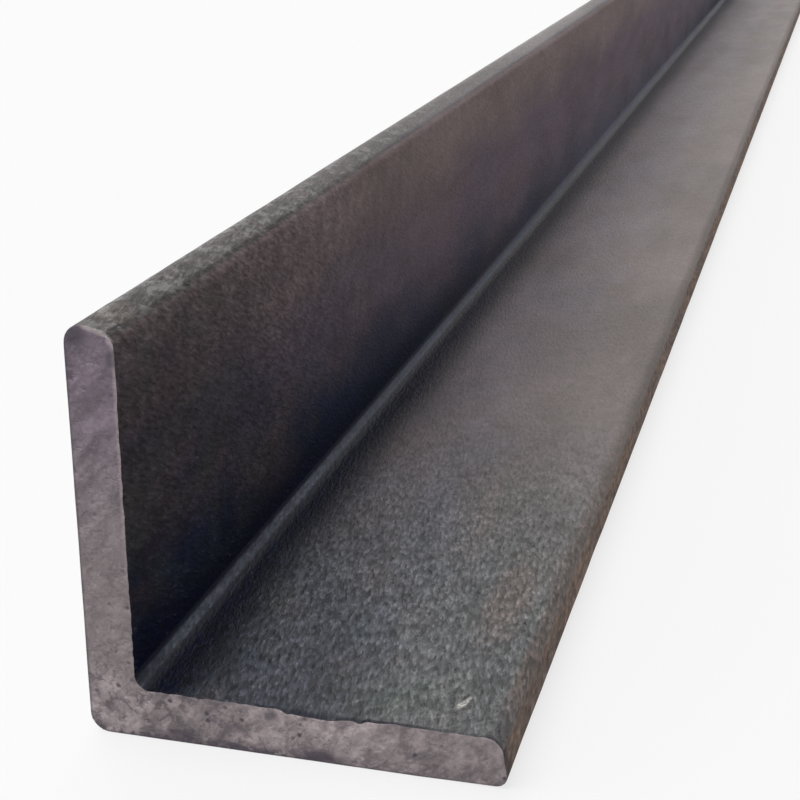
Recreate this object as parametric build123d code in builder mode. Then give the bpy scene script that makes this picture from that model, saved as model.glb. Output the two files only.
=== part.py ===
from build123d import *
import os

# Equal-leg rolled angle bar: one piece, two legs of one thickness at a right angle.
# Millimetres. X runs across the flat leg from heel to toe, Y along the bar, Z up.
# The origin is on the underside, at mid-length and mid-width, where the bar rests.

# Bar
bar_length = 1000.0
flat_leg_width = 50.0
upright_leg_height = 50.0
leg_thickness = 6.0

# Rolled corners of the section
heel_radius = 2.4
root_radius = 2.2
flat_toe_lower_radius = 1.3
flat_toe_upper_radius = 2.6
upright_toe_inner_radius = 3.0
upright_toe_outer_radius = 2.3

# Sawn ends
end_arris_break = 0.15

# Lines that the section's corners stand on
back_x = -flat_leg_width / 2
toe_x = flat_leg_width / 2
upright_inner_x = back_x + leg_thickness

# Corners of the section, counter-clockwise from the heel
heel = (back_x, 0)
flat_toe_lower = (toe_x, 0)
flat_toe_upper = (toe_x, leg_thickness)
root = (upright_inner_x, leg_thickness)
upright_toe_inner = (upright_inner_x, upright_leg_height)
upright_toe_outer = (back_x, upright_leg_height)

corner_radii = {
    heel: heel_radius,
    flat_toe_lower: flat_toe_lower_radius,
    flat_toe_upper: flat_toe_upper_radius,
    root: root_radius,
    upright_toe_inner: upright_toe_inner_radius,
    upright_toe_outer: upright_toe_outer_radius,
}

with BuildPart() as angle_section:
    # The section leaves the rolls with its heel, root and toes rounded.
    with BuildSketch(Plane.XZ) as section:
        with BuildLine():
            Polyline(*corner_radii, close=True)
        make_face()
        for corner, radius in corner_radii.items():
            fillet(section.vertices().sort_by_distance(corner)[0], radius)
    extrude(amount=bar_length / 2, both=True)

    # Both ends are sawn square, and their arris is taken off all round.
    sawn_ends = angle_section.faces().filter_by(Axis.Y)
    chamfer(sawn_ends.edges(), end_arris_break)

angle_section.part.label = "angle_section"

os.makedirs("parts", exist_ok=True)
export_step(angle_section.part, "parts/angle_section.step")
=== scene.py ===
"""Metal angle section: a rolled equal-leg steel bar with two sawn ends, dressed and lit.

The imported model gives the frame. Everything is in metres: X across the flat leg from heel to
toe, Y along the bar, Z up. The near sawn end is the one at the lowest Y. Materials work in
millimetres: across from the heel, along from the nearer sawn end, and up from the floor.
"""

import math

import bmesh
import bpy
from bpy.props import FloatProperty, FloatVectorProperty, IntProperty, PointerProperty
from bpy.types import Operator, Panel, PropertyGroup
from mathutils import Matrix, Vector


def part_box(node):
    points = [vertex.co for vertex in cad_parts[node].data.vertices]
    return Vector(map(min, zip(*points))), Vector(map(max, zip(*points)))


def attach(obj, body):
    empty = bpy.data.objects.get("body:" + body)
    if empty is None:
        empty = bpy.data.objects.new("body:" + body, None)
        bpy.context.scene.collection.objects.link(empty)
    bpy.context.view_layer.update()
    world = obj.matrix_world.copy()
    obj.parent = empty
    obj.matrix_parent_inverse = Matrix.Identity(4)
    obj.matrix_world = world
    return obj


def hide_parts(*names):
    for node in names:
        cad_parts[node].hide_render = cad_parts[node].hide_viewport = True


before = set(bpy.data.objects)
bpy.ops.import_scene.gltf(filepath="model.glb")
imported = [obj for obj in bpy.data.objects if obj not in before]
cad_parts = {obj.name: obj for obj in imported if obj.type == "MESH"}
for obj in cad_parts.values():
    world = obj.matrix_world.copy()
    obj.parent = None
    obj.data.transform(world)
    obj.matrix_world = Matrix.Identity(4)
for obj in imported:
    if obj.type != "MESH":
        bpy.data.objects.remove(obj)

bl_info = {
    "name": "Steel angle bar",
    "version": (1, 0, 0),
    "blender": (4, 5, 0),
    "location": "View3D > Sidebar > Angle bar",
    "description": "Models a rolled steel angle bar with mill scale and sawn ends",
    "category": "Add Mesh",
}

NODE = "angle_section"
PIECE = "rolled_angle_bar"

BAR_LOW, BAR_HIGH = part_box(NODE)
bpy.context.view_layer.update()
BAR_SIZE = BAR_HIGH - BAR_LOW

MM = 0.001
TOUCH = 1e-6
X_AXIS = Vector((1, 0, 0))
Y_AXIS = Vector((0, 1, 0))
Z_AXIS = Vector((0, 0, 1))

# Places that the materials measure from, in millimetres; the near end's is along Y from mid-bar.
WALL = 6.0
LEG = BAR_SIZE.x / MM
NEAR_END = BAR_LOW.y / MM

# Where the torn notches are, from the heel, and over what lengths the marks of the saw fade.
NOTCH_PLACES = (24.4 * MM, 33.1 * MM)
ARRIS_RUN_IN = 3 * MM
CUT_SKIN = 0.2 * MM

# Over how much turn of the normal, as one less its cosine, the rolled and the sawn marks fade.
ROLLED_TURN = 0.5
SAWN_TURN = 0.6

# How squarely a face looks its own way to count as sawn, as rusty toe or as standing leg.
SAWN_FACING = 0.7
FILM_FACING = 0.93
STANDING_FACING = 0.3
ROOT_LINE_REACH = 2.2 * MM

# The bar's materials, in the order of its slots.
LYING_SCALE, STANDING_SCALE, RUST_FILM, SAWN_STEEL = range(4)

# Slants are in degrees.
LYING_SLANT = (0, 0, -10)
STANDING_SLANT = (25, 0, 0)
SCRATCH_SLANT = 20
SCUFF_SLANT = -38
SAW_SLANT = 48

DRAWN_OUT = (1.0, 0.3, 1.0)
LYING_GLOSS = 1.28
STANDING_GLOSS = 1.15
RUST_GLOSS = 1.2
SCALE_BUMP = 0.28 * MM
RUST_BUMP = 0.1 * MM
CUT_BUMP = 0.05 * MM

KEY_SIDE = (-0.70, 0.15, 0.70)
FILL_SIDE = (-0.10, -1.00, 0.20)
SENSOR_WIDTH = 36.0
NEAREST_SEEN = 0.01
FARTHEST_SEEN = 50.0


# ---------------------------------------------------------------- sizes and colours


def length(name, description, default):
    """A length in metres that shows in the panel with its unit."""
    return FloatProperty(
        name=name, description=description, default=default,
        min=0.0, unit="LENGTH", subtype="DISTANCE", precision=5,
    )


def turn(name, description, degrees):
    """An angle."""
    return FloatProperty(
        name=name, description=description, default=math.radians(degrees), subtype="ANGLE",
    )


def amount(name, description, default):
    """A plain number that is not negative."""
    return FloatProperty(name=name, description=description, default=default, min=0.0)


def colour(name, description, default):
    """A plain colour, scene linear."""
    return FloatVectorProperty(
        name=name, description=description, default=default,
        size=3, min=0.0, max=1.0, subtype="COLOR",
    )


class AngleBarSizes(PropertyGroup):
    """The rolled section, and how finely its surface is cut."""

    bar_length: length("Bar length", "From sawn end to sawn end", BAR_SIZE.y)
    flat_leg: length("Flat leg", "Width of the lying leg", BAR_SIZE.x)
    upright_leg: length("Upright leg", "Height of the standing leg", BAR_SIZE.z)
    thickness: length("Thickness", "Thickness of both legs", WALL * MM)
    heel_radius: length("Heel", "Outer corner where the legs meet", 2.4 * MM)
    root_radius: length("Root", "Inner corner where the legs meet", 2.2 * MM)
    flat_toe_below: length("Flat toe, below", "Rounding of the lying leg's lower corner", 1.6 * MM)
    flat_toe_above: length("Flat toe, above", "Rounding of its upper corner", 1.7 * MM)
    flat_toe_out: length("Flat toe, out", "How far its lower corner reaches out unrounded", 0.25 * MM)
    flat_toe_back: length("Flat toe, back", "How far its upper corner falls back", 0.75 * MM)
    upright_toe_inside: length("Upright toe, inside", "Rounding of the standing leg's inner corner", 1.5 * MM)
    upright_toe_outside: length("Upright toe, outside", "Rounding of its outer corner", 3.1 * MM)
    upright_toe_out: length("Upright toe, out", "How far its outer corner reaches up unrounded", 0.76 * MM)
    upright_toe_back: length("Upright toe, back", "How far its inner corner falls back", 1.03 * MM)
    toe_ease: length("Toe ease", "How far the flat toe's underside lifts", 0.15 * MM)
    toe_ease_reach: length("Toe ease reach", "Where that lift starts, from the toe", 10 * MM)
    toe_film_reach: length("Rust film reach", "How far the flat toe's rust film comes in", 1.3 * MM)
    end_arris_break: length("Arris break", "What is taken off the sawn ends' arris", 0.15 * MM)
    corner_facets: IntProperty(
        name="Corner facets", description="Facets of each rounded corner", default=8, min=2,
    )
    arris_facets: IntProperty(
        name="Arris facets", description="Facets of the broken arris", default=2, min=1,
    )
    smooth_angle: turn("Smooth angle", "Faces that meet flatter than this shade as one", 40)
    body_cell: length("Body cell", "Mesh cells across the legs", 2.0 * MM)
    body_step: length("Body step", "Longest mesh cells along the bar", 8.0 * MM)
    end_cell: length("End cell", "Mesh cells on and beside the sawn ends", 0.25 * MM)
    end_depth: length("End depth", "Finely cut stretch behind each sawn end", 2.5 * MM)
    step_growth: FloatProperty(
        name="Step growth", description="How fast cells lengthen towards mid-bar",
        default=1.15, min=1.01,
    )


class AngleBarRelief(PropertyGroup):
    """How deep the rolled and the sawn surfaces are marked."""

    waviness: length("Waviness", "Depth of the rolled faces' slow waves", 0.12 * MM)
    wave_size: length("Wave size", "From wave to wave", 9 * MM)
    burr: length("Burr", "How far the saw has pushed the flat leg's upper arris up", 0.25 * MM)
    bite_depth: length("Bites", "Depth of the scallops in that arris", 0.4 * MM)
    bite_size: length("Bite size", "From scallop to scallop", 2.6 * MM)
    bite_reach: length("Bite reach", "How far back from the sawn face they run", 1.2 * MM)
    sag_depth: length("Sag", "How far the near upper arris is pressed down at mid-leg", 0.65 * MM)
    sag_place: length("Sag place", "Middle of that stretch, from the heel", 28.5 * MM)
    sag_reach: length("Sag reach", "Half the width of that stretch", 7 * MM)
    notch_depth: length("Notches", "Depth of the torn notches in the near upper arris", 0.3 * MM)
    notch_reach: length("Notch reach", "Half the width of a notch", 0.9 * MM)
    tooth_depth: length("Teeth", "Raggedness of both legs' inner arrises", 0.25 * MM)
    tooth_size: length("Tooth size", "From tooth to tooth", 1.2 * MM)
    pit_depth: length("Pits", "Depth of the pits in the sawn faces", 0.22 * MM)
    pit_size: length("Pit size", "From pit to pit", 2.2 * MM)
    pit_share: amount("Pit share", "How much of the way to its neighbours a pit takes up", 0.22)
    unevenness: length("Unevenness", "How far the sawn faces wander", 0.1 * MM)
    wander_size: length("Wander size", "From rise to rise of the sawn faces", 5 * MM)


class AngleBarFinish(PropertyGroup):
    """Colours of the mill scale, of the rust film and of the sawn steel, with painted shade and a painted
    highlight among them.
    """

    # Scale darker beside the sawn ends.
    scale_by_cut: colour("Scale by the cut", "Darker scale beside the sawn ends", (0.054, 0.059, 0.074))
    scale_near: colour("Scale further in", "Blue grey scale a few centimetres in", (0.114, 0.118, 0.135))
    scale_along: colour("Scale along the bar", "Plain mill scale", (0.192, 0.168, 0.180))
    # Blue black, painted as shade in the root and just behind the cut, and as the standing leg's darkening by
    # the ends.
    dark_scale_and_shade: colour("Root shade, painted", "Blue black scale", (0.000, 0.001, 0.010))
    rubbed_by_cut: colour("Rubbed by the cut", "Flat leg near its toe, by the ends", (0.120, 0.122, 0.118))
    rubbed_along: colour("Rubbed along the bar", "Flat leg near its toe", (0.185, 0.152, 0.140))
    # A painted highlight: this pale line along the root fillet stands for the fillet's specular highlight.
    painted_root_highlight: colour("Root highlight, painted", "Painted highlight line along the root", (0.132, 0.145, 0.188))
    standing_foot_shade: colour("Standing leg, foot", "Painted shade by the root, blue black", (0.020, 0.030, 0.065))
    standing_far: colour("Standing leg, far foot", "By the root, far from the ends", (0.205, 0.200, 0.260))
    standing_middle: colour("Standing leg, middle", "Inner face, violet grey", (0.250, 0.200, 0.245))
    standing_head: colour("Standing leg, head", "Inner face near the toe, red brown", (0.388, 0.300, 0.302))
    green_grey: colour("Green grey", "Stains on the scale", (0.080, 0.104, 0.092))
    slate_blue: colour("Slate blue", "Stains on the scale", (0.058, 0.070, 0.100))
    rust_stain: colour("Rust stain", "Warm stains on the scale", (0.180, 0.132, 0.116))
    rust_film: colour("Rust film", "Thin rust on the flat toe", (0.440, 0.325, 0.270))
    rust_edge: colour("Rust edge", "Where that film thins out over the toe's corner", (0.150, 0.122, 0.110))
    worn_scale: colour("Worn scale", "Upright toe by the ends", (0.082, 0.074, 0.073))
    worn_along: colour("Worn along the bar", "Upright toe", (0.238, 0.218, 0.220))
    bare_fleck: colour("Bare flecks", "Steel showing through", (0.380, 0.370, 0.360))
    bare_scratch: colour("Bare scratch", "A fresh scratch", (0.700, 0.680, 0.620))
    sawn_steel: colour("Sawn steel", "Bright grey of the cut", (0.256, 0.216, 0.222))
    sawn_pale: colour("Pale sawn steel", "Where the cut is cleanest", (0.394, 0.334, 0.341))
    sawn_violet: colour("Heat tint", "Violet grey at the head of the cut", (0.176, 0.138, 0.172))
    smudge: colour("Smudge", "Dark film and pits on the cut", (0.056, 0.044, 0.060))


class AngleBarStudio(PropertyGroup):
    """Floor, lamps and camera."""

    floor_size: length("Floor", "Side of the floor", 12.0)
    floor_tone: amount("Floor tone", "How much of the lamps' light the floor returns", 0.20)
    floor_glow: amount("Floor glow", "Paleness of the floor where it is seen or mirrored", 0.75)
    ambient: amount("Ambient", "Level of the surrounding light", 0.20)
    key_power: amount("Key lamp", "Soft lamp from above and behind the standing leg", 3.45)
    key_softness: turn("Key softness", "Spread of the key lamp", 100)
    fill_power: amount("Fill lamp", "Soft lamp from the front", 1.25)
    fill_softness: turn("Fill softness", "Spread of the fill lamp", 70)
    lens: FloatProperty(name="Lens", description="Focal length", default=74.0, min=1.0, unit="CAMERA")
    camera_place: FloatVectorProperty(
        name="Camera", description="Where the camera stands",
        default=(0.0551, -0.6548, 0.1007), subtype="XYZ", unit="LENGTH",
    )
    camera_azimuth: turn("Azimuth", "Camera heading", 15.25)
    camera_dip: turn("Dip", "How far the camera looks down", 19.28)
    camera_roll: turn("Roll", "Tilt of the camera about its view", -0.22)


# ---------------------------------------------------------------- modelling helpers


def select_by_place(kind, test):
    """Select the faces, the vertices, or the edges between vertices, that a test of place accepts."""
    bpy.ops.mesh.select_mode(type=kind)
    bpy.ops.mesh.select_all(action="DESELECT")
    mesh = bmesh.from_edit_mesh(bpy.context.object.data)
    if kind == "FACE":
        for face in mesh.faces:
            face.select_set(test(face.calc_center_median()))
    elif kind == "VERT":
        for corner in mesh.verts:
            corner.select_set(test(corner.co))
    else:
        for edge in mesh.edges:
            edge.select_set(all(test(corner.co) for corner in edge.verts))
    bmesh.update_edit_mesh(bpy.context.object.data)


def on_line(x, z):
    """A test of place for one line along the bar."""
    return lambda p: abs(p.x - x) < TOUCH and abs(p.z - z) < TOUCH


def cut_across(axis, place):
    """Cut everything that shows by a plane square to one axis."""
    bpy.ops.mesh.select_all(action="SELECT")
    bpy.ops.mesh.bisect(plane_co=axis * place, plane_no=axis, threshold=TOUCH)


def extrude(by):
    """Pull the selection out by a vector."""
    bpy.ops.mesh.extrude_region_move(TRANSFORM_OT_translate={"value": by})


def round_off(rounding, facets):
    """Round the selected edges."""
    bpy.ops.mesh.bevel(
        offset=rounding, offset_type="OFFSET", segments=facets,
        profile=0.5, affect="EDGES", clamp_overlap=False,
    )


def inner_faces(sizes):
    """The X of the standing leg's inner face, and the Z of the flat leg's upper one."""
    return BAR_LOW.x + sizes.thickness, BAR_LOW.z + sizes.thickness


def from_end(point):
    """Distance from the nearer sawn face."""
    return min(point.y - BAR_LOW.y, BAR_HIGH.y - point.y)


def fade(distance, reach):
    """1 at no distance, 0 at the reach, eased between."""
    share = max(0.0, 1.0 - abs(distance) / reach)
    return share * share * (3 - 2 * share)


# ---------------------------------------------------------------- the rolled bar


def draw_section(sizes):
    """The sharp section on the near end: a square at the heel, pulled out to both toes."""
    thickness = sizes.thickness
    heel_middle = (BAR_LOW.x + thickness / 2, BAR_LOW.y, BAR_LOW.z + thickness / 2)
    bpy.ops.object.select_all(action="DESELECT")
    bpy.ops.mesh.primitive_plane_add(
        size=thickness, location=heel_middle, rotation=(math.pi / 2, 0, 0),
    )
    bar = bpy.context.object
    bar.name = bar.data.name = PIECE
    bpy.ops.object.transform_apply(location=True, rotation=True, scale=True)
    bpy.ops.object.mode_set(mode="EDIT")

    inner, seat = inner_faces(sizes)
    select_by_place("EDGE", lambda p: p.x > inner - TOUCH)
    extrude((sizes.flat_leg - thickness - sizes.toe_ease_reach, 0, 0))
    extrude((sizes.toe_ease_reach, 0, 0))
    select_by_place("EDGE", lambda p: p.z > seat - TOUCH and p.x < inner + TOUCH)
    extrude((0, 0, sizes.upright_leg - thickness))
    bpy.ops.mesh.select_all(action="SELECT")
    bpy.ops.mesh.dissolve_limited(angle_limit=math.radians(0.1))
    return bar


def lean_toes(sizes):
    """Lean both toes back towards the inside of the angle, and lift the flat toe's lower edge."""
    cut_across(X_AXIS, BAR_HIGH.x - sizes.toe_ease_reach)
    inner, seat = inner_faces(sizes)
    corners = (
        (BAR_HIGH.x, BAR_LOW.z, sizes.flat_toe_out, sizes.toe_ease),
        (BAR_HIGH.x, seat, -sizes.flat_toe_back, 0),
        (inner, BAR_HIGH.z, 0, -sizes.upright_toe_back),
        (BAR_LOW.x, BAR_HIGH.z, 0, sizes.upright_toe_out),
    )
    for x, z, outwards, upwards in corners:
        select_by_place("VERT", on_line(x, z))
        bpy.ops.transform.translate(value=(outwards, 0, upwards))


def round_corners(sizes):
    """Round the six long corners, each by its own size, then break the ends' arris."""
    inner, seat = inner_faces(sizes)
    corners = (
        (BAR_LOW.x, BAR_LOW.z, sizes.heel_radius),
        (BAR_HIGH.x + sizes.flat_toe_out, BAR_LOW.z + sizes.toe_ease, sizes.flat_toe_below),
        (BAR_HIGH.x - sizes.flat_toe_back, seat, sizes.flat_toe_above),
        (inner, seat, sizes.root_radius),
        (inner, BAR_HIGH.z - sizes.upright_toe_back, sizes.upright_toe_inside),
        (BAR_LOW.x, BAR_HIGH.z + sizes.upright_toe_out, sizes.upright_toe_outside),
    )
    for x, z, rounding in corners:
        select_by_place("EDGE", on_line(x, z))
        round_off(rounding, sizes.corner_facets)
    for end in (BAR_LOW.y, BAR_HIGH.y):
        select_by_place("EDGE", lambda p: abs(p.y - end) < TOUCH)
        bpy.ops.mesh.region_to_loop()
        round_off(sizes.end_arris_break, sizes.arris_facets)


def lengthwise_stations(sizes):
    """Distances from a sawn end to each cut: close beside the end, wide at mid-bar."""
    stations = []
    place = sizes.end_arris_break
    step = sizes.end_cell
    while place < sizes.bar_length / 2:
        stations.append(place)
        if place > sizes.end_depth:
            step = min(step * sizes.step_growth, sizes.body_step)
        place += step
    return stations


def slice_legs(sizes, cell):
    """Cut everything that shows into even strips, along both legs, about one cell wide."""
    strips = round(sizes.flat_leg / cell)
    for step in range(1, strips):
        cut_across(X_AXIS, BAR_LOW.x + step * sizes.flat_leg / strips)
        cut_across(Z_AXIS, BAR_LOW.z + step * sizes.upright_leg / strips)


def cut_cells(sizes):
    """Cut the plain bar into cells, fine on and beside both sawn ends."""
    for station in lengthwise_stations(sizes):
        cut_across(Y_AXIS, BAR_LOW.y + station)
        cut_across(Y_AXIS, BAR_HIGH.y - station)
    slice_legs(sizes, sizes.body_cell)
    select_by_place("FACE", lambda p: from_end(p) < sizes.end_depth)
    bpy.ops.mesh.hide(unselected=True)
    slice_legs(sizes, sizes.end_cell)
    bpy.ops.mesh.reveal(select=False)


# ---------------------------------------------------------------- relief


def weigh(bar, name, rule):
    """A vertex group whose weights a rule of place and normal gives."""
    group = bar.vertex_groups.new(name=name)
    for vertex in bar.data.vertices:
        weight = rule(vertex.co, vertex.normal)
        if weight > 0:
            group.add([vertex.index], weight, "REPLACE")


def pattern(name, kind, size, **settings):
    """A procedural texture for the Displace modifier."""
    texture = bpy.data.textures.new(name, kind)
    texture.noise_scale = size
    for key, value in settings.items():
        setattr(texture, key, value)
    return texture


def displace(bar, group, texture, direction, depth, level):
    """Push the group's vertices by a texture, or evenly where there is none, and apply it."""
    modifier = bar.modifiers.new(group, "DISPLACE")
    modifier.texture = texture
    modifier.texture_coords = "LOCAL"
    modifier.vertex_group = group
    modifier.direction = direction
    modifier.strength = depth
    modifier.mid_level = level
    bpy.ops.object.modifier_apply(modifier=modifier.name)


def mark_rolled_faces(bar, relief):
    """Slow waves, inwards only, on every rolled face."""
    weigh(bar, "rolled", lambda p, n: 1.0 - fade(1.0 - abs(n.y), ROLLED_TURN))
    waves = pattern("waves", "CLOUDS", relief.wave_size, noise_depth=2)
    displace(bar, "rolled", waves, "NORMAL", relief.waviness, 1.0)


def bite_arrises(bar, sizes, relief):
    """Ragged inner arrises: sag, notches, burr and scallops on the flat leg, small teeth on both."""
    inner, seat = inner_faces(sizes)
    half = sizes.thickness / 2

    def on_flat_leg(p, n):
        across = 1.0 - fade(max(0.0, p.x - inner), ARRIS_RUN_IN)
        return across * fade(from_end(p), relief.bite_reach) * fade(min(0.0, p.z - seat), half)

    def on_standing_leg(p, n):
        upwards = 1.0 - fade(max(0.0, p.z - seat), ARRIS_RUN_IN)
        return upwards * fade(from_end(p), relief.bite_reach) * fade(min(0.0, p.x - inner), half)

    def sagging(p, n):
        middle = BAR_LOW.x + relief.sag_place
        return on_flat_leg(p, n) * fade(p.x - middle, relief.sag_reach) * (p.y < 0)

    def notched(p, n):
        torn = max(fade(p.x - BAR_LOW.x - place, relief.notch_reach) for place in NOTCH_PLACES)
        return on_flat_leg(p, n) * torn * (p.y < 0)

    weigh(bar, "sag", sagging)
    weigh(bar, "notches", notched)
    weigh(bar, "flat arris", on_flat_leg)
    weigh(bar, "standing arris", on_standing_leg)
    scallops = pattern("scallops", "CLOUDS", relief.bite_size, noise_depth=1)
    teeth = pattern("teeth", "CLOUDS", relief.tooth_size, noise_depth=3)
    displace(bar, "sag", None, "Z", -relief.sag_depth, 0.0)
    displace(bar, "notches", None, "Z", -relief.notch_depth, 0.0)
    displace(bar, "flat arris", None, "Z", relief.burr, 0.0)
    displace(bar, "flat arris", scallops, "Z", -relief.bite_depth, 0.5)
    displace(bar, "flat arris", teeth, "Z", -relief.tooth_depth, 0.5)
    displace(bar, "standing arris", teeth, "X", -relief.tooth_depth, 0.5)


def mark_sawn_faces(bar, relief):
    """Uneven sawn faces with pits, always below the plane of the cut."""
    wander = pattern("wander", "CLOUDS", relief.wander_size, noise_depth=3)
    pits = pattern("pits", "VORONOI", relief.pit_size, use_color_ramp=True)
    for step, place, tone in zip(pits.color_ramp.elements, (0.0, relief.pit_share), (1, 0)):
        step.position = place
        step.color = (tone, tone, tone, 1)
    for name, end, inwards in (("near cut", BAR_LOW.y, 1), ("far cut", BAR_HIGH.y, -1)):
        weigh(bar, name, lambda p, n: fade(p.y - end, CUT_SKIN) * fade(1.0 + n.y * inwards, SAWN_TURN))
        displace(bar, name, wander, "Y", inwards * relief.unevenness, 0.0)
        displace(bar, name, pits, "Y", inwards * relief.pit_depth, 0.0)


def finish_faces(bar, sizes, finish):
    """Give the bar its materials: lying scale, standing scale, rust film and sawn steel."""
    for material in (
        mill_scale_material(finish, "lying mill scale", LYING_GLOSS, LYING_SLANT),
        mill_scale_material(finish, "standing mill scale", STANDING_GLOSS, STANDING_SLANT),
        rust_film_material(finish),
        sawn_steel_material(finish),
    ):
        bar.data.materials.append(material)
    inner = inner_faces(sizes)[0]
    for face in bar.data.polygons:
        across = face.center.x - BAR_LOW.x
        up = face.center.z - BAR_LOW.z
        on_toe = face.center.x > BAR_HIGH.x - sizes.toe_film_reach
        above_root = up > across + ROOT_LINE_REACH and face.center.x > inner - MM
        if abs(face.normal.y) > SAWN_FACING:
            face.material_index = SAWN_STEEL
        elif face.normal.x > FILM_FACING and on_toe:
            face.material_index = RUST_FILM
        elif face.normal.x > STANDING_FACING and above_root:
            face.material_index = STANDING_SCALE
        else:
            face.material_index = LYING_SCALE


class ANGLEBAR_OT_roll_and_saw(Operator):
    """Model the rolled bar with its two sawn ends"""

    bl_idname = "anglebar.roll_and_saw"
    bl_label = "Rolled angle bar"
    bl_options = {"REGISTER", "UNDO"}

    def execute(self, context):
        sizes = context.scene.angle_bar_sizes
        relief = context.scene.angle_bar_relief
        finish = context.scene.angle_bar_finish
        bar = draw_section(sizes)
        lean_toes(sizes)
        bpy.ops.mesh.select_all(action="SELECT")
        extrude((0, sizes.bar_length, 0))
        bpy.ops.mesh.select_all(action="SELECT")
        bpy.ops.mesh.normals_make_consistent(inside=False)
        round_corners(sizes)
        cut_cells(sizes)

        bpy.ops.object.mode_set(mode="OBJECT")
        finish_faces(bar, sizes, finish)

        mark_rolled_faces(bar, relief)
        bite_arrises(bar, sizes, relief)
        mark_sawn_faces(bar, relief)
        bar.vertex_groups.clear()
        bpy.ops.object.shade_smooth_by_angle(angle=sizes.smooth_angle)
        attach(bar, "root")
        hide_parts(NODE)
        return {"FINISHED"}


# ---------------------------------------------------------------- node sheets and groups


class Sheet:
    """One node tree, with short ways to add and join its nodes."""

    def __init__(self, tree):
        self.nodes = tree.nodes
        self.links = tree.links

    def feed(self, socket, value):
        """Join a socket to another, or write a constant on it."""
        if isinstance(value, bpy.types.NodeSocket):
            self.links.new(value, socket)
        elif socket.type == "RGBA":
            socket.default_value = (*value, 1)
        else:
            socket.default_value = value

    def add(self, kind, settings=(), **inputs):
        """A node with its settings and inputs; an input's name has _ for each space."""
        node = self.nodes.new(kind)
        for key, value in dict(settings).items():
            setattr(node, key, value)
        for key, value in inputs.items():
            self.feed(node.inputs[key.replace("_", " ")], value)
        return node

    def use(self, name, **inputs):
        """A shared node group placed with its own values; it is made when it is first used."""
        tree = bpy.data.node_groups.get(name) or GROUPS[name](name)
        return self.add("ShaderNodeGroup", {"node_tree": tree}, **inputs).outputs

    def maths(self, operation, first, second=0.0, kind="ShaderNodeMath"):
        """One sum of two values."""
        node = self.add(kind, {"operation": operation})
        self.feed(node.inputs[0], first)
        self.feed(node.inputs[1], second)
        return node.outputs[0]

    def vectors(self, operation, first, second):
        """One sum of two vectors; a single value serves for all three parts."""
        return self.maths(operation, first, second, "ShaderNodeVectorMath")

    def plus(self, first, second):
        """Two values added."""
        return self.maths("ADD", first, second)

    def less(self, first, second):
        """The first value less the second."""
        return self.maths("SUBTRACT", first, second)

    def product(self, first, *others):
        """Several masks or values multiplied."""
        for other in others:
            first = self.maths("MULTIPLY", first, other)
        return first

    def off_middle(self, noise, much):
        """Noise as a swing either way, as wide as the second value."""
        return self.product(self.less(noise, 0.5), much)

    def rise(self, value, low, high, bottom=0.0, top=1.0):
        """Eased from bottom to top as the value goes from low to high."""
        node = self.add(
            "ShaderNodeMapRange", {"interpolation_type": "SMOOTHSTEP"},
            Value=value, From_Min=low, From_Max=high, To_Min=bottom, To_Max=top,
        )
        return node.outputs["Result"]

    def slide(self, mask, under, over):
        """One value giving way to another by a mask."""
        node = self.add("ShaderNodeMix", {"data_type": "FLOAT"})
        self.feed(node.inputs[0], mask)
        self.feed(node.inputs[2], under)
        self.feed(node.inputs[3], over)
        return node.outputs[0]

    def lay(self, mask, under, over):
        """One colour laid over another by a mask."""
        node = self.add("ShaderNodeMix", {"data_type": "RGBA"})
        self.feed(node.inputs[0], mask)
        self.feed(node.inputs[6], under)
        self.feed(node.inputs[7], over)
        return node.outputs[2]

    def turned(self, place, x=0, y=0, z=0):
        """A place turned about the axes, in degrees."""
        angles = [math.radians(angle) for angle in (x, y, z)]
        return self.add("ShaderNodeMapping", Vector=place, Rotation=angles).outputs[0]

    def scaled(self, place, scale):
        """A place with its parts scaled: under 1 draws a pattern out that way."""
        return self.add("ShaderNodeMapping", Vector=place, Scale=scale).outputs[0]

    def frequency(self, size):
        """A texture's Scale for lumps of a size, in millimetres."""
        if isinstance(size, bpy.types.NodeSocket):
            return self.maths("DIVIDE", 1.0, size)
        return 1.0 / size

    def noise(self, place, size, detail=2.0, roughness=0.5, distortion=0.0):
        """Soft noise whose lumps are about as wide as the size."""
        node = self.add(
            "ShaderNodeTexNoise", Vector=place, Scale=self.frequency(size),
            Detail=detail, Roughness=roughness, Distortion=distortion,
        )
        return node.outputs["Fac"]

    def cells(self, place, size, feature="F1"):
        """Random cells about as wide as the size, as the outputs of their node."""
        return self.add(
            "ShaderNodeTexVoronoi", {"feature": feature}, Vector=place, Scale=self.frequency(size),
        ).outputs


NUMBER = "NodeSocketFloat"
VECTOR = "NodeSocketVector"


def new_group(name, inputs, outputs):
    """An empty node group with named sockets; gives its sheet, inputs and output node."""
    tree = bpy.data.node_groups.new(name, "ShaderNodeTree")
    for label, kind, default in inputs:
        socket = tree.interface.new_socket(label, in_out="INPUT", socket_type=kind)
        if default is not None:
            socket.default_value = default
    for label, kind in outputs:
        tree.interface.new_socket(label, in_out="OUTPUT", socket_type=kind)
    sheet = Sheet(tree)
    return tree, sheet, sheet.nodes.new("NodeGroupInput").outputs, sheet.nodes.new("NodeGroupOutput").inputs


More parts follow.
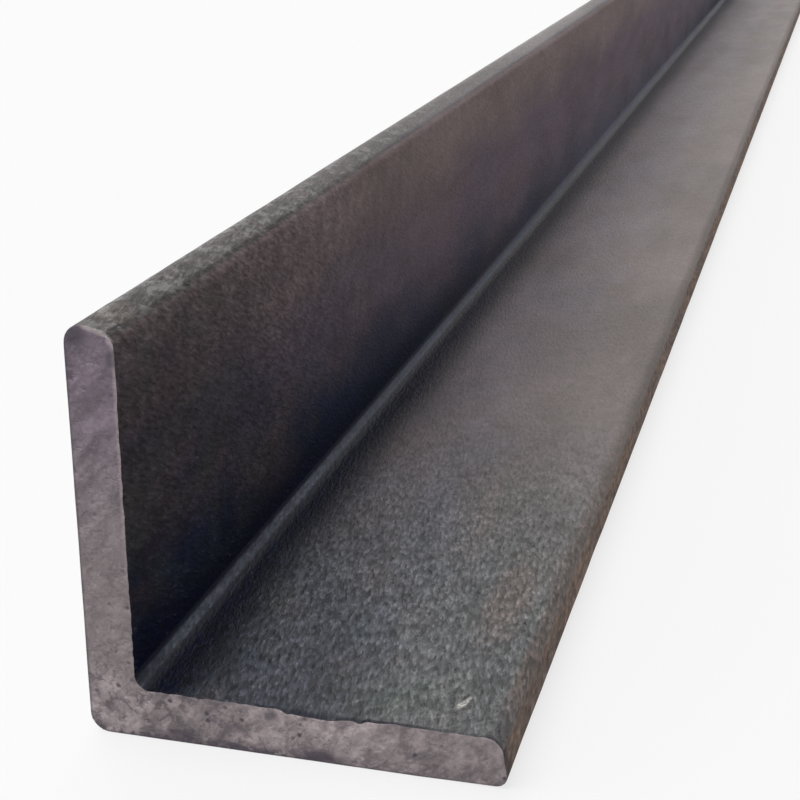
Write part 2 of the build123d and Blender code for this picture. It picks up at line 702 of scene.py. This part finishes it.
def place_group(name):
    """Where a point is on the bar, in millimetres."""
    tree, sheet, given, result = new_group(
        name,
        [("Object", VECTOR, None)],
        [("Place", VECTOR), ("Across", NUMBER), ("Along", NUMBER), ("Up", NUMBER)],
    )
    place = sheet.add(
        "ShaderNodeMapping", Vector=given["Object"], Scale=(1 / MM,) * 3,
        Location=(-BAR_LOW.x / MM, 0.0, -BAR_LOW.z / MM),
    ).outputs[0]
    parts = sheet.add("ShaderNodeSeparateXYZ", Vector=place).outputs
    from_middle = sheet.maths("ABSOLUTE", parts["Y"])
    sheet.feed(result["Place"], place)
    sheet.feed(result["Across"], parts["X"])
    sheet.feed(result["Along"], sheet.less(BAR_HIGH.y / MM, from_middle))
    sheet.feed(result["Up"], parts["Z"])
    return tree


def blotches_group(name):
    """Soft patches that cover what lies above a threshold of noise."""
    tree, sheet, given, result = new_group(
        name,
        [("Place", VECTOR, None), ("Size", NUMBER, 5.0), ("Threshold", NUMBER, 0.5),
         ("Softness", NUMBER, 0.1), ("Stretch", VECTOR, (1.0, 1.0, 1.0)), ("Shift", NUMBER, 0.0)],
        [("Mask", NUMBER)],
    )
    shifted = sheet.vectors("ADD", given["Place"], given["Shift"])
    stretched = sheet.vectors("DIVIDE", shifted, given["Stretch"])
    lumps = sheet.noise(stretched, given["Size"], detail=4.0, roughness=0.55, distortion=0.3)
    low = sheet.less(given["Threshold"], given["Softness"])
    high = sheet.plus(given["Threshold"], given["Softness"])
    sheet.feed(result["Mask"], sheet.rise(lumps, low, high))
    return tree


def grain_group(name):
    """Leathery grain, drawn out by a stretch: its height, a shade about 1 that is partly grain tone and
    partly painted relief shading, dark in hollows and light on crests, and its crests.
    """
    tree, sheet, given, result = new_group(
        name,
        [("Place", VECTOR, None), ("Size", NUMBER, 0.5), ("Contrast", NUMBER, 1.0),
         ("Stretch", VECTOR, (1.0, 1.0, 1.0))],
        [("Height", NUMBER), ("Shade", NUMBER), ("Crests", NUMBER)],
    )
    stretched = sheet.vectors("DIVIDE", given["Place"], given["Stretch"])
    wrinkles = sheet.noise(stretched, given["Size"], detail=3.0, roughness=0.6)
    warped = sheet.vectors("ADD", stretched, sheet.product(wrinkles, given["Size"], 3.0))
    pebbles = sheet.less(1.0, sheet.cells(warped, given["Size"])["Distance"])
    height = sheet.slide(0.22, wrinkles, pebbles)
    # The shade darkens hollows and lightens crests: partly grain tone, partly painted relief shading.
    about_one = sheet.product(height, 2.04)
    sheet.feed(result["Height"], height)
    sheet.feed(result["Shade"], sheet.maths("POWER", about_one, given["Contrast"]))
    sheet.feed(result["Crests"], sheet.rise(height, 0.58, 0.74))
    return tree


def pits_group(name):
    """Scattered ragged pits or spots, some cells having one and some none."""
    tree, sheet, given, result = new_group(
        name,
        [("Place", VECTOR, None), ("Spacing", NUMBER, 2.0), ("Radius", NUMBER, 0.3), ("Share", NUMBER, 0.5)],
        [("Mask", NUMBER)],
    )
    cells = sheet.cells(given["Place"], given["Spacing"])
    chance = sheet.add("ShaderNodeSeparateColor", Color=cells["Color"]).outputs[0]
    has_one = sheet.maths("LESS_THAN", chance, given["Share"])
    ragged = sheet.off_middle(sheet.noise(given["Place"], 0.6), 0.3)
    away = sheet.plus(sheet.product(cells["Distance"], given["Spacing"]), ragged)
    inside = sheet.rise(away, given["Radius"], sheet.product(given["Radius"], 0.3))
    sheet.feed(result["Mask"], sheet.product(has_one, inside))
    return tree


def stain_group(name):
    """One ragged stain: how much of it covers a point."""
    tree, sheet, given, result = new_group(
        name,
        [("Place", VECTOR, None), ("Centre", VECTOR, None), ("Reach", VECTOR, (5.0, 5.0, 5.0)),
         ("Ragged", NUMBER, 0.8)],
        [("Mask", NUMBER)],
    )
    offset = sheet.vectors("SUBTRACT", given["Place"], given["Centre"])
    share = sheet.vectors("DIVIDE", offset, given["Reach"])
    away = sheet.add("ShaderNodeVectorMath", {"operation": "LENGTH"}, Vector=share).outputs["Value"]
    frayed = sheet.noise(given["Place"], 3.0, detail=4.0, roughness=0.6)
    away = sheet.plus(away, sheet.off_middle(frayed, given["Ragged"]))
    sheet.feed(result["Mask"], sheet.rise(away, 1.0, 0.3))
    return tree


GROUPS = {
    "Place on the bar": place_group,
    "Blotches": blotches_group,
    "Grain": grain_group,
    "Pits": pits_group,
    "Stain": stain_group,
}


# ---------------------------------------------------------------- materials


class BarSheet(Sheet):
    """A new material for the bar: its shader, each point's place, and the colour laid so far."""

    def __init__(self, name):
        self.material = bpy.data.materials.new(name)
        self.material.use_nodes = True
        super().__init__(self.material.node_tree)
        self.shader = self.nodes["Principled BSDF"]
        coordinates = self.add("ShaderNodeTexCoord").outputs["Object"]
        where = self.use("Place on the bar", Object=coordinates)
        self.place = where["Place"]
        self.across = where["Across"]
        self.along = where["Along"]
        self.up = where["Up"]
        self.tint = None

    def cover(self, over, mask, *others):
        """Lay a colour over what is there, by a mask or by several multiplied."""
        self.tint = self.lay(self.product(mask, *others), self.tint, over)

    def tone(self, factor):
        """Darken or lighten what is there by a factor."""
        scaled = self.add("ShaderNodeVectorMath", {"operation": "SCALE"}, Vector=self.tint, Scale=factor)
        self.tint = scaled.outputs[0]

    def mottle(self, noise, low, high, depth):
        """Darken what is there where noise is low and lighten it where it is high, by the depth."""
        swing = self.product(self.rise(noise, low, high, -1.0, 1.0), depth)
        self.tone(self.plus(swing, 1.0))

    def patches(self, size, threshold, softness, shift=0.0, stretch=(1.0, 1.0, 1.0), place=None):
        """The mask of soft patches of one size, by the bar's own place unless another is given."""
        return self.use(
            "Blotches", Place=self.place if place is None else place, Size=size,
            Threshold=threshold, Softness=softness, Stretch=stretch, Shift=shift,
        )["Mask"]

    def stain(self, over, centre, reach, much, ragged=0.8, place=None):
        """Lay one stain over what is there, by the bar's own place unless another is given."""
        mask = self.use(
            "Stain", Place=self.place if place is None else place,
            Centre=centre, Reach=reach, Ragged=ragged,
        )["Mask"]
        self.cover(over, mask, much)

    def dressed(self, roughness, height, depth):
        """The material, with its colour and its surface's values joined to the shader."""
        self.feed(self.shader.inputs["Base Color"], self.tint)
        self.feed(self.shader.inputs["Roughness"], roughness)
        bump = self.add("ShaderNodeBump", Strength=1.0, Distance=depth, Height=height)
        self.feed(self.shader.inputs["Normal"], bump.outputs["Normal"])
        return self.material


class ScaleSheet(BarSheet):
    """A new mill scale, with the masks that its layers share."""

    def __init__(self, name):
        super().__init__(name)
        self.drawn = self.scaled(self.place, DRAWN_OUT)
        self.wander = self.off_middle(self.noise(self.drawn, 9.0, detail=3.0), 1.0)
        self.inside = self.rise(self.maths("MINIMUM", self.across, self.up), WALL - 0.8, WALL - 0.3)
        self.standing = self.rise(self.less(self.up, self.across), -0.5, 0.5)
        self.by_cut = self.rise(self.along, 60.0, 20.0)
        self.out_of_root = self.less(self.plus(self.across, self.up), 2 * WALL)
        self.toe_top = self.upright_toe_top()

    def strayed(self, value, much):
        """A value that strays either way with the scale's slow wander."""
        return self.plus(value, self.product(self.wander, much))

    def upright_toe_top(self):
        """The mask of the standing leg's toe, whose line softens away from the ends."""
        toe_line = self.rise(self.across, 1.0, WALL, LEG - 2.2, LEG - 1.8)
        toe_line = self.plus(toe_line, self.rise(self.along, 40.0, 160.0, 0.0, 0.5))
        softness = self.rise(self.along, 40.0, 160.0, 0.8, 1.3)
        return self.rise(self.less(self.up, toe_line), 0.0, softness)


def lying_scale(sheet, finish):
    """The flat leg's upper face: blue grey by the ends, rubbed and warmer near the toe."""
    out_along = sheet.strayed(sheet.along, 30.0)
    near = sheet.rise(out_along, -6.0, 46.0)
    far = sheet.rise(out_along, 32.0, 120.0)
    tint = sheet.lay(near, finish.scale_by_cut, finish.scale_near)
    tint = sheet.lay(far, tint, finish.scale_along)
    rubbed = sheet.lay(far, finish.rubbed_by_cut, finish.rubbed_along)
    towards_toe = sheet.strayed(sheet.across, 14.0)
    return sheet.lay(sheet.rise(towards_toe, 27.0, 39.0, 0.0, 0.66), tint, rubbed)


def standing_scale(sheet, finish):
    """The standing leg's inner face: blue black painted shade at the foot, violet middle, red brown head,
    darker by the ends.
    """
    height = sheet.strayed(sheet.up, 16.0)
    above_foot = sheet.plus(height, sheet.rise(sheet.along, 40.0, 220.0, 0.0, 8.0))
    # Painted shade at the standing leg's foot: blue black by the ends, paler far along the bar.
    foot = sheet.lay(sheet.rise(sheet.along, 60.0, 450.0), finish.standing_foot_shade, finish.standing_far)
    tint = sheet.lay(sheet.rise(above_foot, 13.0, 34.0), foot, finish.standing_middle)
    tint = sheet.lay(sheet.rise(height, 31.0, 44.0), tint, finish.standing_head)
    # Darker by the ends, less so at the toe.
    darker_by_ends = sheet.rise(sheet.strayed(sheet.along, 40.0), 140.0, -10.0, 0.0, 0.77)
    darker_by_ends = sheet.product(darker_by_ends, sheet.rise(sheet.up, LEG - 8.0, LEG, 1.0, 0.6))
    return sheet.lay(darker_by_ends, tint, finish.dark_scale_and_shade)


def stain_scale(sheet, finish):
    """Rust, green grey and slate blue patches, the last two beside the sawn ends, and three stains."""
    rust = sheet.patches(11.0, 0.58, 0.14, 40.0, (1.0, 3.0, 1.0))
    sheet.cover(finish.rust_stain, rust, 0.3)
    green = sheet.patches(7.0, 0.55, 0.1, 7.0, (1.0, 1.6, 1.0))
    sheet.cover(finish.green_grey, green, sheet.by_cut, 0.25)
    slate = sheet.patches(8.0, 0.54, 0.1, 23.0, (1.0, 1.6, 1.0))
    sheet.cover(finish.slate_blue, slate, sheet.by_cut, 0.15)
    sheet.stain(finish.slate_blue, (15.5, NEAR_END + 8.0, WALL), (5.5, 8.0, 3.0), 0.4)
    sheet.stain(finish.green_grey, (38.0, NEAR_END + 7.0, WALL), (5.0, 6.0, 3.0), 0.35)
    sheet.stain(finish.rust_stain, (43.0, NEAR_END + 34.0, WALL), (4.0, 18.0, 3.0), 0.45)


def darken_root(sheet, finish):
    """Painted shade in the root, blue black, and a painted highlight line along it, just on the standing
    leg's side.
    """
    on_lying = sheet.rise(sheet.along, 50.0, 300.0, 1.0, 0.8)
    on_standing = sheet.rise(sheet.along, 40.0, 320.0, 1.0, 0.1)
    lasting = sheet.slide(sheet.standing, on_lying, on_standing)
    # Painted shade in the root corner on both legs: it lasts along the lying leg and fades along the standing
    # one.
    root = sheet.rise(sheet.strayed(sheet.out_of_root, 3.0), 11.0, 2.6)
    sheet.cover(finish.dark_scale_and_shade, root, sheet.inside, lasting)
    # Painted highlight along the root fillet: narrow, dim by the near end and fading far along the bar.
    off_line = sheet.less(sheet.less(sheet.up, sheet.across), 0.54)
    sheet.cover(
        finish.painted_root_highlight, sheet.rise(sheet.maths("ABSOLUTE", off_line), 1.2, 0.45),
        sheet.rise(sheet.strayed(sheet.out_of_root, 1.0), 3.2, 2.4), sheet.inside,
        sheet.rise(sheet.along, 0.5, 14.0, 0.35, 1.0), sheet.rise(sheet.along, 150.0, 350.0, 1.0, 0.5),
    )


def wear_toes(sheet, finish):
    """Thin rust over the flat toe's corner, and worn scale on the upright toe."""
    toe_edge = sheet.lay(sheet.rise(sheet.along, 14.0, 2.0, 0.0, 0.6), finish.rust_edge, finish.scale_by_cut)
    sheet.cover(toe_edge, sheet.rise(sheet.strayed(sheet.across, 1.4), LEG - 2.7, LEG - 1.1))
    worn = sheet.lay(sheet.rise(sheet.along, 0.0, 320.0), finish.worn_scale, finish.worn_along)
    sheet.cover(worn, sheet.toe_top)
    sheet.stain(finish.rust_edge, (3.4, NEAR_END + 6.5, LEG - 0.5), (2.6, 5.0, 3.0), 0.55)


def roughen_scale(sheet, finish, grain):
    """Grain tone that is partly painted relief shading, clouds and mottles, with bright crests by the ends
    that are partly painted glints, and bare flecks on the upright toe.
    """
    # Grain shade, partly painted relief shading.
    sheet.tone(grain["Shade"])
    sheet.mottle(sheet.noise(sheet.drawn, 14.0, detail=3.0, roughness=0.55), 0.3, 0.7, 0.16)
    mottles = sheet.noise(sheet.place, 3.2, detail=3.0, roughness=0.6)
    sheet.mottle(mottles, 0.34, 0.66, sheet.rise(sheet.along, 50.0, 150.0, 0.16, 0.04))
    # Bright crests by the ends: partly bare steel, partly painted glints.
    bright = sheet.rise(sheet.noise(sheet.place, 4.0), 0.42, 0.62, 0.02, 0.16)
    sheet.cover(finish.bare_fleck, grain["Crests"], bright, sheet.by_cut)
    flecks = sheet.patches(1.7, 0.56, 0.07, 31.0, (1.0, 1.6, 1.0))
    sheet.cover(finish.bare_fleck, flecks, sheet.toe_top, sheet.rise(sheet.along, 60.0, 220.0, 0.4, 0.12))


def scratch_scale(sheet, finish):
    """Fine scuffs across the flat leg beside the ends, one deep bright scratch, and bare specks."""
    scuffed = sheet.turned(sheet.place, z=SCUFF_SLANT)
    sheet.cover(
        finish.bare_fleck, sheet.patches(0.5, 0.62, 0.06, 0.0, (6.0, 1.0, 1.0), scuffed),
        sheet.rise(sheet.along, 26.0, 4.0), sheet.rise(sheet.across, 20.0, 38.0, 0.0, 0.2),
    )
    centre = Vector((43.4, NEAR_END + 7.2, WALL))
    centre.rotate(Matrix.Rotation(math.radians(SCRATCH_SLANT), 3, "Z"))
    slanted = sheet.turned(sheet.place, z=SCRATCH_SLANT)
    worn_through = sheet.slide(sheet.patches(0.5, 0.5, 0.1, 5.0), 0.3, 1.0)
    sheet.stain(finish.bare_scratch, centre, (0.45, 2.1, 3.0), worn_through, 1.6, slanted)
    specks = sheet.use("Pits", Place=sheet.place, Spacing=3.2, Radius=0.22, Share=0.4)["Mask"]
    sheet.cover(finish.bare_fleck, specks, sheet.by_cut, 0.22)


def edge_scale(sheet, finish):
    """The painted shadow just behind the cut, from about mid flat leg to the toe, and the bare burr at the
    upright toe's corner.
    """
    # Painted shadow of the burred arris: a thin dark fringe just behind the cut.
    sheet.cover(
        finish.dark_scale_and_shade, sheet.rise(sheet.along, 1.2, 0.4), sheet.rise(sheet.across, 17.0, 22.0),
        sheet.rise(sheet.wander, -0.2, 0.1, 0.3, 0.85),
    )
    sheet.cover(
        finish.bare_fleck, sheet.rise(sheet.along, 0.6, 0.3),
        sheet.rise(sheet.up, LEG - 2.4, LEG - 1.6), sheet.rise(sheet.across, 2.0, 3.0), 0.7,
    )


def mill_scale_material(finish, name, gloss, slant):
    """Dark oxide skin of the rolled faces, with blue black painted shade in the root, brown at the toes."""
    sheet = ScaleSheet(name)
    contrast = sheet.rise(sheet.along, 30.0, 112.0, sheet.slide(sheet.standing, 2.7, 1.7), 0.45)
    strokes = sheet.turned(sheet.place, *slant)
    grain = sheet.use("Grain", Place=strokes, Size=0.48, Stretch=(1.0, 3.5, 1.0), Contrast=contrast)
    inner = sheet.lay(sheet.standing, lying_scale(sheet, finish), standing_scale(sheet, finish))

    sheet.tint = finish.scale_along
    sheet.cover(finish.scale_near, sheet.patches(14.0, 0.53, 0.1, 0.0, (1.0, 3.0, 1.0)), 0.6)
    sheet.cover(inner, sheet.inside)
    stain_scale(sheet, finish)
    darken_root(sheet, finish)
    wear_toes(sheet, finish)
    roughen_scale(sheet, finish, grain)
    scratch_scale(sheet, finish)
    edge_scale(sheet, finish)

    rough = sheet.slide(sheet.product(sheet.standing, sheet.inside), 0.50, 0.65)
    rough = sheet.strayed(sheet.slide(sheet.toe_top, rough, 0.70), 0.1)
    sheet.shader.inputs["IOR"].default_value = gloss
    return sheet.dressed(rough, grain["Height"], SCALE_BUMP)


def rust_film_material(finish):
    """Thin dull rust on the flat leg's toe, dark beside the sawn ends."""
    sheet = BarSheet("rust film")
    mottles = sheet.noise(sheet.place, 1.6, detail=4.0, roughness=0.65)
    grain = sheet.use("Grain", Place=sheet.place, Size=0.8, Stretch=(1.0, 3.0, 1.0), Contrast=1.2)
    sheet.tint = finish.rust_film
    sheet.mottle(mottles, 0.3, 0.7, 0.25)
    sheet.cover(finish.scale_near, sheet.patches(5.0, 0.52, 0.1, 3.0, (1.0, 2.0, 1.0)), 0.35)
    ragged_along = sheet.plus(sheet.along, sheet.off_middle(mottles, 2.0))
    sheet.cover(finish.scale_by_cut, sheet.rise(ragged_along, 4.0, 0.6, 0.0, 0.7))
    sheet.tone(grain["Shade"])
    sheet.shader.inputs["IOR"].default_value = RUST_GLOSS
    return sheet.dressed(0.8, grain["Height"], RUST_BUMP)


class CutSheet(BarSheet):
    """A new sawn steel, with the masks that its layers share."""

    def __init__(self, name):
        super().__init__(name)
        self.foot_leg = self.rise(self.up, 13.0, 7.0)
        self.towards_heel = self.product(self.foot_leg, self.rise(self.across, 34.0, 16.0))

    def spots(self, over, *places, ragged=0.8):
        """Lay stains on the near cut: how far across and up each is, its reach and its strength."""
        for across, up, reach, much in places:
            self.stain(over, (across, NEAR_END, up), reach, much, ragged)

    def crevices(self, size, half_width, shift):
        """The dark clefts between boulder-like lumps of torn steel, darkened partly as painted shade."""
        swing = self.off_middle(self.noise(self.place, 1.1, detail=3.0, roughness=0.55), 2.6)
        bent = self.vectors("ADD", self.place, self.plus(swing, shift))
        to_edge = self.cells(bent, size, "DISTANCE_TO_EDGE")["Distance"]
        return self.rise(to_edge, half_width / size, 0.0)


def mark_steel(sheet, finish, slanted, mottles):
    """Mottled steel, pale on the foot leg and violet at the head, with the saw's slanting marks."""
    sheet.tint = sheet.lay(sheet.rise(sheet.up, 16.0, 46.0), finish.sawn_steel, finish.sawn_violet)
    sheet.spots(
        finish.sawn_pale, (28.0, 3.4, (13.0, 30.0, 9.0), 0.65), (3.5, 4.0, (6.0, 30.0, 6.0), 0.7),
        ragged=0.5,
    )
    sheet.mottle(mottles, 0.34, 0.66, sheet.slide(sheet.foot_leg, 0.18, 0.32))
    marks = sheet.patches(1.5, 0.5, 0.13, 0.0, (5.0, 1.0, 1.0), slanted)
    between = sheet.rise(sheet.up, 12.0, 40.0, 1.05, 1.16)
    within = sheet.rise(sheet.up, 12.0, 40.0, 0.96, 0.82)
    sheet.tone(sheet.slide(marks, between, within))
    blooms = sheet.patches(2.6, 0.5, 0.12, 53.0)
    dull = sheet.slide(sheet.foot_leg, 0.97, 0.93)
    bright = sheet.slide(sheet.foot_leg, 1.04, 1.08)
    sheet.tone(sheet.slide(blooms, dull, bright))


def smudge_foot(sheet, finish):
    """The dark film along the foot of the cut."""
    sheet.cover(
        finish.smudge, sheet.rise(sheet.up, 1.6, 0.4), sheet.patches(1.7, 0.5, 0.05, 11.0),
        sheet.rise(sheet.across, 38.0, 26.0, 0.4, 1.0), 0.85,
    )
    sheet.spots(
        finish.smudge, (28.2, 0.4, (3.8, 9.0, 2.1), 0.85), (10.5, 0.3, (4.2, 9.0, 1.9), 0.75),
        ragged=1.4,
    )


def edge_steel(sheet, finish):
    """The pale inner and top arrises of the cut, its dark rim, and the stains beside them."""
    sheet.cover(
        finish.sawn_pale, sheet.rise(sheet.across, WALL - 0.6, WALL - 0.2),
        sheet.rise(sheet.up, 16.0, 30.0, 0.0, 0.5),
    )
    rim = sheet.rise(sheet.maths("MINIMUM", sheet.across, sheet.up), 0.5, 0.1, 0.0, 0.6)
    sheet.cover(finish.smudge, rim)
    sheet.spots(
        finish.smudge, (22.5, 5.2, (1.4, 9.0, 1.1), 0.6), (1.1, 48.9, (2.4, 9.0, 1.9), 0.8),
        (5.6, 46.4, (1.0, 9.0, 1.4), 0.6),
    )
    above_toe = sheet.plus(sheet.up, sheet.product(sheet.across, 0.3))
    sheet.cover(
        finish.sawn_pale, sheet.rise(above_toe, LEG + 0.1, LEG + 0.45),
        sheet.rise(sheet.across, 1.8, 2.8), 0.75,
    )
    sheet.spots(finish.sawn_pale, (5.6, 48.5, (0.7, 9.0, 0.9), 0.8), ragged=0.2)


def sawn_steel_material(finish):
    """The cut: pale mottled steel with slanting marks, torn gaps darkened partly as painted shade, dark pits
    and a smudged foot.
    """
    sheet = CutSheet("sawn steel")
    slanted = sheet.turned(sheet.place, y=SAW_SLANT)
    mottles = sheet.noise(sheet.scaled(slanted, (0.55, 1.0, 1.0)), 1.5, detail=5.0, roughness=0.7)
    mark_steel(sheet, finish, slanted, mottles)

    wide_gaps = sheet.product(sheet.crevices(3.4, 0.58, 0.0), sheet.patches(3.2, 0.5, 0.1, 17.0))
    fine_gaps = sheet.product(sheet.crevices(1.7, 0.33, 7.0), sheet.patches(2.2, 0.52, 0.08, 29.0))
    gaps = sheet.maths("MAXIMUM", wide_gaps, fine_gaps)
    torn = sheet.slide(sheet.foot_leg, 0.25, sheet.slide(sheet.towards_heel, 0.32, 0.62))
    # Torn gaps darkened, partly as painted shade in the clefts.
    sheet.cover(finish.smudge, gaps, torn)
    smudge_foot(sheet, finish)
    edge_steel(sheet, finish)
    sheet.cover(finish.smudge, sheet.rise(sheet.along, 0.10, 0.24), 0.75)

    share = sheet.slide(sheet.towards_heel, 0.3, 0.75)
    pits = sheet.use("Pits", Place=sheet.place, Spacing=1.7, Radius=0.42, Share=share)["Mask"]
    sheet.cover(finish.smudge, pits, sheet.slide(sheet.foot_leg, 0.35, 0.9))
    grain = sheet.use("Grain", Place=sheet.place, Size=0.5, Contrast=0.4)
    sheet.tone(grain["Shade"])
    height = sheet.less(sheet.plus(grain["Height"], mottles), sheet.plus(gaps, pits))
    sheet.shader.inputs["Metallic"].default_value = 0.3
    return sheet.dressed(0.5, height, CUT_BUMP)


# ---------------------------------------------------------------- stage


def seen_or_mirrored(sheet):
    """1 for camera, glossy and transmission rays, 0 for the rays that light things."""
    path = sheet.add("ShaderNodeLightPath").outputs
    mirrored = sheet.maths("MAXIMUM", path["Is Glossy Ray"], path["Is Transmission Ray"])
    return sheet.maths("MAXIMUM", path["Is Camera Ray"], mirrored)


def light_world(studio):
    """White where it is seen or mirrored, softer where it lights."""
    world = bpy.data.worlds.new("studio")
    bpy.context.scene.world = world
    world.use_nodes = True
    sheet = Sheet(world.node_tree)
    level = sheet.slide(seen_or_mirrored(sheet), studio.ambient, 1.0)
    sheet.feed(sheet.nodes["Background"].inputs["Color"], (1, 1, 1))
    sheet.feed(sheet.nodes["Background"].inputs["Strength"], level)


def lay_floor(studio):
    """A pale floor that keeps the bar's shadow."""
    bpy.ops.object.select_all(action="DESELECT")
    bpy.ops.mesh.primitive_plane_add(size=studio.floor_size, location=(0, 0, BAR_LOW.z))
    floor = bpy.context.object
    floor.name = "floor"
    bpy.ops.object.transform_apply(location=True, rotation=True, scale=True)
    material = bpy.data.materials.new("pale floor")
    material.use_nodes = True
    sheet = Sheet(material.node_tree)
    sheet.nodes.remove(sheet.nodes["Principled BSDF"])
    matt = sheet.add("ShaderNodeBsdfDiffuse", Color=(studio.floor_tone,) * 3)
    strength = sheet.product(seen_or_mirrored(sheet), studio.floor_glow)
    glow = sheet.add("ShaderNodeEmission", Color=(1, 1, 1), Strength=strength)
    both = sheet.add("ShaderNodeAddShader")
    sheet.feed(both.inputs[0], matt.outputs[0])
    sheet.feed(both.inputs[1], glow.outputs[0])
    sheet.feed(sheet.nodes["Material Output"].inputs["Surface"], both.outputs[0])
    floor.data.materials.append(material)


def hang_lamp(name, power, softness, side):
    """A soft distant lamp that shines from the given side."""
    bpy.ops.object.light_add(type="SUN", location=side)
    lamp = bpy.context.object
    lamp.name = name
    lamp.data.energy = power
    lamp.data.angle = softness
    lamp.rotation_euler = Vector(side).to_track_quat("Z", "Y").to_euler()


def set_camera(studio):
    """The camera at its place, turned to its heading, dipped and rolled."""
    bpy.ops.object.camera_add(location=studio.camera_place)
    camera = bpy.context.object
    heading = Matrix.Rotation(studio.camera_azimuth, 4, "Z")
    dip = Matrix.Rotation(math.pi / 2 - studio.camera_dip, 4, "X")
    roll = Matrix.Rotation(studio.camera_roll, 4, "Z")
    camera.matrix_world = Matrix.Translation(studio.camera_place) @ heading @ dip @ roll
    camera.data.lens = studio.lens
    camera.data.sensor_width = SENSOR_WIDTH
    camera.data.clip_start = NEAREST_SEEN
    camera.data.clip_end = FARTHEST_SEEN
    bpy.context.scene.camera = camera


class ANGLEBAR_OT_stage(Operator):
    """Lay the floor, hang the lamps and set the camera"""

    bl_idname = "anglebar.stage"
    bl_label = "Stage"
    bl_options = {"REGISTER", "UNDO"}

    def execute(self, context):
        studio = context.scene.angle_bar_studio
        light_world(studio)
        lay_floor(studio)
        hang_lamp("key", studio.key_power, studio.key_softness, KEY_SIDE)
        hang_lamp("fill", studio.fill_power, studio.fill_softness, FILL_SIDE)
        set_camera(studio)
        context.scene.view_settings.view_transform = "Standard"
        return {"FINISHED"}


# ---------------------------------------------------------------- panel and run


SETTINGS = (
    ("Sizes", "angle_bar_sizes", AngleBarSizes),
    ("Relief", "angle_bar_relief", AngleBarRelief),
    ("Finish", "angle_bar_finish", AngleBarFinish),
    ("Studio", "angle_bar_studio", AngleBarStudio),
)


class ANGLEBAR_PT_panel(Panel):
    """Angle bar"""

    bl_label = "Angle bar"
    bl_idname = "ANGLEBAR_PT_panel"
    bl_space_type = "VIEW_3D"
    bl_region_type = "UI"
    bl_category = "Angle bar"

    def draw(self, context):
        self.layout.operator(ANGLEBAR_OT_roll_and_saw.bl_idname)
        self.layout.operator(ANGLEBAR_OT_stage.bl_idname)
        for title, name, kind in SETTINGS:
            box = self.layout.box()
            box.label(text=title)
            for key in kind.__annotations__:
                box.prop(getattr(context.scene, name), key)


CLASSES = (
    AngleBarSizes, AngleBarRelief, AngleBarFinish, AngleBarStudio,
    ANGLEBAR_OT_roll_and_saw, ANGLEBAR_OT_stage, ANGLEBAR_PT_panel,
)


def register():
    for entry in CLASSES:
        bpy.utils.register_class(entry)
    for _, name, kind in SETTINGS:
        setattr(bpy.types.Scene, name, PointerProperty(type=kind))


def unregister():
    for _, name, _ in SETTINGS:
        delattr(bpy.types.Scene, name)
    for entry in reversed(CLASSES):
        bpy.utils.unregister_class(entry)


def main():
    register()
    bpy.ops.anglebar.roll_and_saw()
    bpy.ops.anglebar.stage()


if __name__ == "__main__":
    main()
